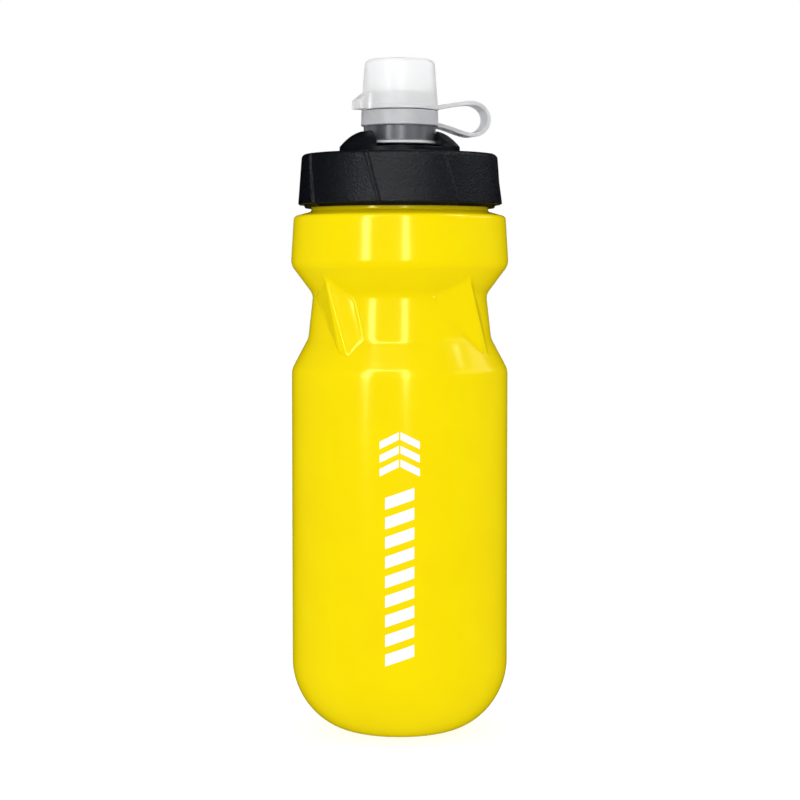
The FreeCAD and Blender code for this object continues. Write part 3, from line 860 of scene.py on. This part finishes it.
def strap_axes():
    """The directions outward along the strap and across it, seen from above."""
    turn = math.radians(STRAP_AZIMUTH)
    outward = np.array([math.sin(turn), -math.cos(turn), 0])
    sideways = np.array([math.cos(turn), math.sin(turn), 0])
    return outward, sideways


def cap_columns():
    """The cap's columns: across the tab as (offset, outwardness), and the azimuths of the rest."""
    w = TAB_HALF_WIDTH
    root = w + TAB_ROOT_WIDTH
    # Half of the tab, from its root on the cap round the corner to its tip.
    half = [(root, 0.0), (w + 0.6, 0.0), (w + 0.25, 0.05), (w + 0.06, 0.2), (w, 0.42)]
    half += [(w, 0.7), (w - 0.08, 0.9), (w - 0.35, 1.0), (w * 0.55, 1.0)]
    tab = [(-t, s) for t, s in half] + [(0.0, 1.0)] + [(t, s) for t, s in half[::-1]]
    edge = math.degrees(math.asin(root / CAP_RADIUS_BOTTOM))
    rest = np.linspace(edge, 360 - edge, CAP_COLUMNS)[1:-1]
    return tab, rest


def tab_reach(z):
    """How far out the thumb tab stands at a height."""
    height = z - CAP_BOTTOM
    if height >= TAB_ROOT_HEIGHT:
        return 0.0
    lower = TAB_REACH - TAB_LEAN * height / TAB_TIP_HEIGHT - max(0.0, TAB_EDGE - height)
    ends = [TAB_REACH - TAB_LEAN, CAP_RADIUS_BOTTOM - TAB_ROOT_SINK]
    upper = np.interp(height, [TAB_TIP_HEIGHT, TAB_ROOT_HEIGHT], ends)
    return float(smooth_min(lower, upper, TAB_TIP_ROUNDING))


def cap_rings():
    """The cap's whole skin: tapered outside with rolled rim and tab, rounded top, cavity."""
    rim = CAP_RADIUS_BOTTOM + CAP_RIM
    rim_top, side_bottom = (CAP_BOTTOM + height for height in CAP_RIM_HEIGHTS)
    inside_top = CAP_TOP - CAP_WALL
    tab_root = CAP_BOTTOM + TAB_ROOT_HEIGHT
    profile = [
        (rim, CAP_BOTTOM, 0.3),
        (rim, rim_top, 0.3),
        (CAP_RADIUS_BOTTOM - CAP_RIM_GROOVE, side_bottom, 0.3),
        (CAP_RADIUS_TOP, CAP_TOP, 1.7),
        (0.0, CAP_TOP),
        (0.0, inside_top),
        (CAP_RADIUS_TOP - CAP_WALL, inside_top, 1.0),
        (CAP_RADIUS_BOTTOM - CAP_WALL, CAP_BOTTOM, 0.2),
    ]
    path = dense_loop(rounded(profile, closed=True), TAB_ROW, low=CAP_BOTTOM, high=tab_root)
    path = dense_loop(path, CAP_ROW)
    tab, rest = cap_columns()
    outward, sideways = strap_axes()
    rings = []
    for r, z in path:
        on_tab = r > CAP_RADIUS_BOTTOM - CAP_WALL / 2 and z < tab_root
        ring = []
        for offset, out in tab:
            offset *= min(1.0, r / CAP_RADIUS_TOP)
            along = math.sqrt(max(r * r - offset * offset, 0.0))
            if on_tab:
                along += out * max(0.0, tab_reach(z) - along)
            ring.append((along, offset))
        ring += [(r * math.cos(a), r * math.sin(a)) for a in np.radians(rest)]
        rings.append([np.array([0, 0, z]) - outward * u - sideways * v for u, v in ring])
    return np.array(rings)


def make_cap():
    """The translucent cap over the nozzle."""
    skin = Builder()
    skin.rings(cap_rings())
    piece = skin.finish("cap_cover", sharp=35.0)
    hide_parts("dust_cap")
    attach(piece, "dust_cap")
    return piece


def make_ring():
    """The ring that turns in the sleeve's groove."""
    body = Builder()
    body.lathe([(RING_BORE, RING_BOTTOM, 0.2)] + RING_OUTLINE + [(RING_BORE, RING_TOP, 0.2)])
    piece = body.finish("strap_ring")
    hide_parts("tether_ring")
    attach(piece, "tether")
    return piece


def bezier(a, b, c, d):
    """Points along a cubic Bezier curve."""
    t = np.linspace(0, 1, RUN_STEPS + 1)[:, None]
    return a * (1 - t) ** 3 + 3 * b * t * (1 - t) ** 2 + 3 * c * t * t * (1 - t) + d * t**3


def strap_line():
    """The strap's centre line in its upright plane: ring, lower run, loop, upper run, cap."""

    def around(angle):
        a = math.radians(angle)
        return np.array([math.cos(a), math.sin(a)]) * LOOP_RADII

    first, last = LOOP_ENDS
    lower_end = LOOP_CENTRE + around(first)
    upper_end = LOOP_CENTRE + around(last)
    lower_pull = lower_end - unit(around(first + 90)) * LOOP_PULL
    upper_pull = upper_end + unit(around(last + 90)) * LOOP_PULL
    lower = bezier(RING_ROOT, RING_ROOT + RING_PULL, lower_pull, lower_end)
    upper = bezier(upper_end, upper_pull, CAP_ROOT + CAP_PULL, CAP_ROOT)
    loop = [LOOP_CENTRE + around(a) for a in np.linspace(first, last, LOOP_POINTS)[1:-1]]
    return np.vstack([lower, loop, upper])


def make_strap():
    """The flat strap from the ring to the cap, bent back on itself in a loop."""
    w, t = STRAP_WIDTH / 2, STRAP_THICKNESS / 2
    corners = [(-w, -t), (w, -t), (w, t), (-w, t)]
    section = rounded([(*p, STRAP_ROUNDING) for p in corners], closed=True, turn_step=20.0)
    outward, sideways = strap_axes()
    upward = np.array([0, 0, 1])
    line = strap_line()
    rings = []
    for (reach, height), (along, rise) in zip(line, directions(line)):
        middle = outward * reach + upward * height
        lift = outward * rise - upward * along
        rings.append([middle + sideways * x + lift * y for x, y in section])
    skin = Builder()
    skin.rings(np.array(rings), wrap_rows=False, caps=True)
    piece = skin.finish("strap_band", sharp=45.0)
    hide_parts("tether_strap")
    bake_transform(piece)
    return piece


# ---------------------------------------------------------------- material nodes


def plastic(name, colour, roughness, **settings):
    """A Principled material, whose constant values sit on the shader's own sockets."""
    material = bpy.data.materials.new(name)
    material.use_nodes = True
    shader = material.node_tree.nodes["Principled BSDF"]
    shader.inputs["Base Color"].default_value = (*colour, 1)
    shader.inputs["Roughness"].default_value = roughness
    for socket, value in settings.items():
        shader.inputs[socket.replace("_", " ")].default_value = value
    return material


def noise(material, scale, stretch=(1, 1, 1)):
    """A noise texture in the object's own coordinates, in metres."""
    nodes, links = material.node_tree.nodes, material.node_tree.links
    place = nodes.new("ShaderNodeTexCoord")
    mapping = nodes.new("ShaderNodeMapping")
    mapping.inputs["Scale"].default_value = stretch
    texture = nodes.new("ShaderNodeTexNoise")
    texture.inputs["Scale"].default_value = scale
    texture.inputs["Detail"].default_value = NOISE_DETAIL
    links.new(place.outputs["Object"], mapping.inputs["Vector"])
    links.new(mapping.outputs["Vector"], texture.inputs["Vector"])
    return texture


def vary(material, socket, texture, low, high):
    """Feeds one of the shader's sockets from a noise, between two colours."""
    nodes, links = material.node_tree.nodes, material.node_tree.links
    mapped = nodes.new("ShaderNodeValToRGB")
    for element, position, colour in zip(mapped.color_ramp.elements, NOISE_ENDS, (low, high)):
        element.position = position
        element.color = (*colour, 1)
    links.new(texture.outputs["Fac"], mapped.inputs["Fac"])
    links.new(mapped.outputs["Color"], nodes["Principled BSDF"].inputs[socket])


def paint_rim_highlight(material, full, none, colour):
    """Blends the base colour into a paler one towards the bottom edge, between two heights in mm: a painted
    highlight along the rim.
    """
    nodes, links = material.node_tree.nodes, material.node_tree.links
    shader = nodes["Principled BSDF"]
    place = nodes.new("ShaderNodeTexCoord")
    axes = nodes.new("ShaderNodeSeparateXYZ")
    share = nodes.new("ShaderNodeMapRange")
    share.inputs["From Min"].default_value = none * MM
    share.inputs["From Max"].default_value = full * MM
    blend = nodes.new("ShaderNodeMixRGB")
    blend.inputs["Color2"].default_value = (*colour, 1)
    links.new(place.outputs["Object"], axes.inputs["Vector"])
    links.new(axes.outputs["Z"], share.inputs["Value"])
    links.new(share.outputs["Result"], blend.inputs["Fac"])
    links.new(shader.inputs["Base Color"].links[0].from_socket, blend.inputs["Color1"])
    links.new(blend.outputs["Color"], shader.inputs["Base Color"])


def grain(material, *layers):
    """Surface grain: one bump for each layer of (noise scale, strength, height in metres)."""
    nodes, links = material.node_tree.nodes, material.node_tree.links
    before = None
    for scale, strength, height in layers:
        bump = nodes.new("ShaderNodeBump")
        bump.inputs["Strength"].default_value = strength
        bump.inputs["Distance"].default_value = height
        links.new(noise(material, scale).outputs["Fac"], bump.inputs["Height"])
        if before:
            links.new(before.outputs["Normal"], bump.inputs["Normal"])
        before = bump
    links.new(before.outputs["Normal"], nodes["Principled BSDF"].inputs["Normal"])


def grey(value):
    """A grey as a colour."""
    return (value, value, value)


# ---------------------------------------------------------------- materials


def yellow_polyethylene():
    """The body: bright and glossy, with a yellow tint in its gloss."""
    tint = (1.0, 0.97, 0.35, 1.0)
    yellow = plastic(
        "yellow_polyethylene", (0.82, 0.64, 0.0), 0.2, Specular_IOR_Level=0.3, Specular_Tint=tint
    )
    vary(yellow, "Base Color", noise(yellow, 60.0), (0.81, 0.625, 0.0), (0.83, 0.655, 0.0))
    vary(yellow, "Roughness", noise(yellow, 900.0), grey(0.13), grey(0.18))
    grain(yellow, (90.0, 0.12, 0.0004), (1500.0, 0.03, 0.0001))
    return yellow


def white_ink():
    """The print."""
    ink = plastic("white_ink", (0.93, 0.93, 0.92), 0.4)
    vary(ink, "Base Color", noise(ink, 900.0), (0.92, 0.92, 0.90), (0.96, 0.96, 0.95))
    grain(ink, (2500.0, 0.08, 0.0001))
    return ink


def black_polypropylene():
    """The lid: matt, with a leathery grain."""
    black = plastic("black_polypropylene", (0.006, 0.007, 0.010), 0.4, Specular_IOR_Level=0.14)
    vary(black, "Base Color", noise(black, 1800.0), (0.003, 0.0035, 0.0055), (0.008, 0.009, 0.013))
    vary(black, "Roughness", noise(black, 1400.0), grey(0.3), grey(0.42))
    grain(black, (1500.0, 1.0, 0.0003))
    return black


def black_satin_polypropylene():
    """The spout collar: smoother than the lid."""
    satin = plastic("black_satin_polypropylene", (0.007, 0.007, 0.009), 0.32, Specular_IOR_Level=0.07)
    vary(satin, "Base Color", noise(satin, 1600.0), (0.004, 0.004, 0.006), (0.009, 0.01, 0.013))
    grain(satin, (2600.0, 0.3, 0.0001))
    return satin


def frosted_polypropylene():
    """The nozzle sleeve: streaked, with a painted highlight along the rim of its foot."""
    frosted = plastic(
        "frosted_polypropylene", (0.15, 0.155, 0.17), 0.3, Transmission_Weight=0.15, Specular_IOR_Level=0.25
    )
    streaks = noise(frosted, 140.0, stretch=(1, 1, 0.15))
    vary(frosted, "Base Color", streaks, (0.06, 0.065, 0.08), (0.24, 0.245, 0.265))
    # A painted highlight: the rim of the foot is made paler, as if lit.
    full, none = (SLEEVE_BOTTOM + height for height in RIM_HIGHLIGHT_HEIGHTS)
    paint_rim_highlight(frosted, full, none, (0.8, 0.81, 0.83))
    grain(frosted, (160.0, 0.15, 0.0004), (1500.0, 0.1, 0.0001))
    return frosted


def milky_silicone():
    """The dust cap: clear enough for the tip to show faintly."""
    clear = plastic("milky_silicone", (0.99, 0.99, 0.99), 0.3, Transmission_Weight=0.6, IOR=1.3)
    vary(clear, "Base Color", noise(clear, 120.0), (0.98, 0.983, 0.99), (1.0, 1.0, 1.0))
    grain(clear, (140.0, 0.12, 0.0004), (1800.0, 0.12, 0.0001))
    return clear


def milky_silicone_strap():
    """The ring and the strap: greyer than the cap."""
    strap = plastic("milky_silicone_strap", (0.76, 0.765, 0.78), 0.4, Transmission_Weight=0.5, IOR=1.41)
    vary(strap, "Base Color", noise(strap, 120.0), (0.7, 0.705, 0.72), (0.8, 0.805, 0.82))
    grain(strap, (1800.0, 0.12, 0.0001))
    return strap


def soft_silicone():
    """The tip and the valve."""
    soft = plastic("soft_silicone", (0.95, 0.955, 0.97), 0.42, Transmission_Weight=0.2, IOR=1.41)
    vary(soft, "Base Color", noise(soft, 120.0), (0.93, 0.935, 0.95), (0.98, 0.985, 0.99))
    grain(soft, (1800.0, 0.12, 0.0001))
    return soft


def grey_silicone():
    """The gasket."""
    seal = plastic("grey_silicone", (0.7, 0.71, 0.72), 0.5)
    vary(seal, "Base Color", noise(seal, 400.0), (0.66, 0.67, 0.68), (0.74, 0.75, 0.76))
    grain(seal, (1800.0, 0.15, 0.0001))
    return seal


def black_rubber():
    """The O-rings."""
    rubber = plastic("black_rubber", grey(0.02), 0.55)
    vary(rubber, "Base Color", noise(rubber, 900.0), grey(0.015), grey(0.03))
    grain(rubber, (2000.0, 0.2, 0.0001))
    return rubber


def paint(piece, material):
    """Gives a piece or a CAD node one material."""
    if not piece.material_slots:
        piece.data.materials.append(material)
    for slot in piece.material_slots:
        slot.link = "OBJECT"
        slot.material = material


# ---------------------------------------------------------------- stage, light and camera


def glow(name, strength):
    """A plain white emissive material for light panels."""
    material = bpy.data.materials.new(name)
    material.use_nodes = True
    nodes, links = material.node_tree.nodes, material.node_tree.links
    nodes.remove(nodes["Principled BSDF"])
    emission = nodes.new("ShaderNodeEmission")
    emission.inputs["Color"].default_value = WHITE
    emission.inputs["Strength"].default_value = strength
    links.new(emission.outputs["Emission"], nodes["Material Output"].inputs["Surface"])
    return material


def panel(name, azimuths, elevations, strength):
    """A patch of a sphere round the bottle that shows only in reflections."""
    turns = np.linspace(*azimuths, PANEL_POINTS)
    rises = np.radians(np.linspace(*elevations, PANEL_POINTS))
    turn, rise = np.meshgrid(turns, rises)
    heights = PANEL_HEIGHT + PANEL_DISTANCE * np.sin(rise)
    points = at_azimuth(PANEL_DISTANCE * np.cos(rise), turn, heights)
    faces = grid_faces(PANEL_POINTS, PANEL_POINTS, wrap_rows=False, wrap_columns=False)
    mesh = bpy.data.meshes.new(name)
    mesh.from_pydata(points.reshape(-1, 3).tolist(), [], faces)
    piece = bpy.data.objects.new(name, mesh)
    bpy.context.scene.collection.objects.link(piece)
    piece.data.materials.append(glow(name + "_glow", strength))
    piece.visible_camera = False
    piece.visible_diffuse = False
    piece.visible_transmission = False
    piece.visible_shadow = False


def soft_light(name, azimuth, elevation, distance, size, power):
    """A large area light that lights the surfaces but doesn't show in their gloss."""
    a, e = math.radians(azimuth), math.radians(elevation)
    data = bpy.data.lights.new(name, "AREA")
    data.shape = "DISK"
    data.size = size
    data.energy = power
    lamp = bpy.data.objects.new(name, data)
    direction = Vector((math.cos(e) * math.sin(a), -math.cos(e) * math.cos(a), math.sin(e)))
    lamp.location = Vector(LAMP_TARGET) + direction * distance
    lamp.rotation_euler = direction.to_track_quat("Z", "Y").to_euler()
    lamp.visible_glossy = False
    bpy.context.scene.collection.objects.link(lamp)


def make_world():
    """Plain colours, and even white light from all round that doesn't show in the gloss."""
    scene = bpy.context.scene
    scene.view_settings.view_transform = "Standard"
    world = bpy.data.worlds.new("studio")
    scene.world = world
    world.use_nodes = True
    background = world.node_tree.nodes["Background"]
    background.inputs["Color"].default_value = WHITE
    background.inputs["Strength"].default_value = WORLD_STRENGTH
    world.cycles_visibility.glossy = False


def make_floor():
    """White paper under the bottle, which glows enough to leave only a faint shadow."""
    reach = FLOOR_REACH
    corners = [(-reach, -reach, 0), (reach, -reach, 0), (reach, reach, 0), (-reach, reach, 0)]
    mesh = bpy.data.meshes.new("floor")
    mesh.from_pydata(corners, [], [(0, 1, 2, 3)])
    floor = bpy.data.objects.new("floor", mesh)
    floor.location.z = -FLOOR_DROP
    bpy.context.scene.collection.objects.link(floor)
    paper = plastic("paper", grey(0.25), 0.9, Specular_IOR_Level=0.0)
    shader = paper.node_tree.nodes["Principled BSDF"]
    shader.inputs["Emission Color"].default_value = WHITE
    shader.inputs["Emission Strength"].default_value = FLOOR_GLOW
    floor.data.materials.append(paper)
    floor.visible_glossy = False
    floor.visible_diffuse = False


def make_backdrop():
    """A white drum with a lid, which only the camera and clear pieces see."""
    reach = BACKDROP_REACH
    path = np.array([(reach, -reach), (reach, reach), (BACKDROP_HOLE, reach)])
    drum = Builder()
    azimuths = np.arange(BACKDROP_COLUMNS) * 360.0 / BACKDROP_COLUMNS
    drum.rings(turned_rings(path, azimuths), wrap_rows=False)
    backdrop = drum.finish("backdrop")
    backdrop.data.materials.append(glow("backdrop_glow", 1.0))
    backdrop.visible_glossy = False
    backdrop.visible_diffuse = False
    backdrop.visible_shadow = False


def make_lights():
    """A soft key light, a window of two strips and a bar, and a box and a sheen on the right."""
    soft_light("key", azimuth=-8, elevation=16, distance=1.2, size=0.7, power=2.6)
    panel("strip_left", azimuths=(-38.5, -32.0), elevations=(-3.0, 46.0), strength=26.0)
    panel("strip_right", azimuths=(4.0, 9.0), elevations=(-3.0, 46.0), strength=26.0)
    panel("bar_top", azimuths=(-38.5, 9.0), elevations=(41.5, 46.0), strength=20.0)
    panel("box_right", azimuths=(84.0, 91.0), elevations=(40.0, 58.0), strength=36.0)
    panel("side_sheen", azimuths=(62.0, 120.0), elevations=(12.0, 34.0), strength=1.6)


def make_camera():
    """Level with the top of the grips and tilted down a little, onto the bottle's middle."""
    data = bpy.data.cameras.new("camera")
    data.lens = CAMERA_LENS_MM
    data.sensor_width = CAMERA_SENSOR_MM
    camera = bpy.data.objects.new("camera", data)
    camera.location = CAMERA_PLACE
    camera.rotation_euler = Euler((math.radians(90.0 - CAMERA_DIP), 0, 0))
    bpy.context.scene.collection.objects.link(camera)
    bpy.context.scene.camera = camera


# ---------------------------------------------------------------- the whole bottle


def main():
    """Makes and paints every piece, and sets the stage."""
    paint(make_bottle(), yellow_polyethylene())
    paint(make_print(), white_ink())
    paint(make_lid(), black_polypropylene())
    paint(make_gasket(), grey_silicone())
    paint(make_collar(), black_satin_polypropylene())
    paint(make_sleeve(), frosted_polypropylene())
    soft = soft_silicone()
    paint(make_tip(), soft)
    paint(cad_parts["valve_membrane"], soft)
    strap = milky_silicone_strap()
    paint(make_ring(), strap)
    paint(make_strap(), strap)
    paint(make_cap(), milky_silicone())
    rubber = black_rubber()
    paint(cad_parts["collar_o_ring"], rubber)
    paint(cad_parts["stem_o_ring"], rubber)
    make_world()
    make_floor()
    make_backdrop()
    make_lights()
    make_camera()


main()
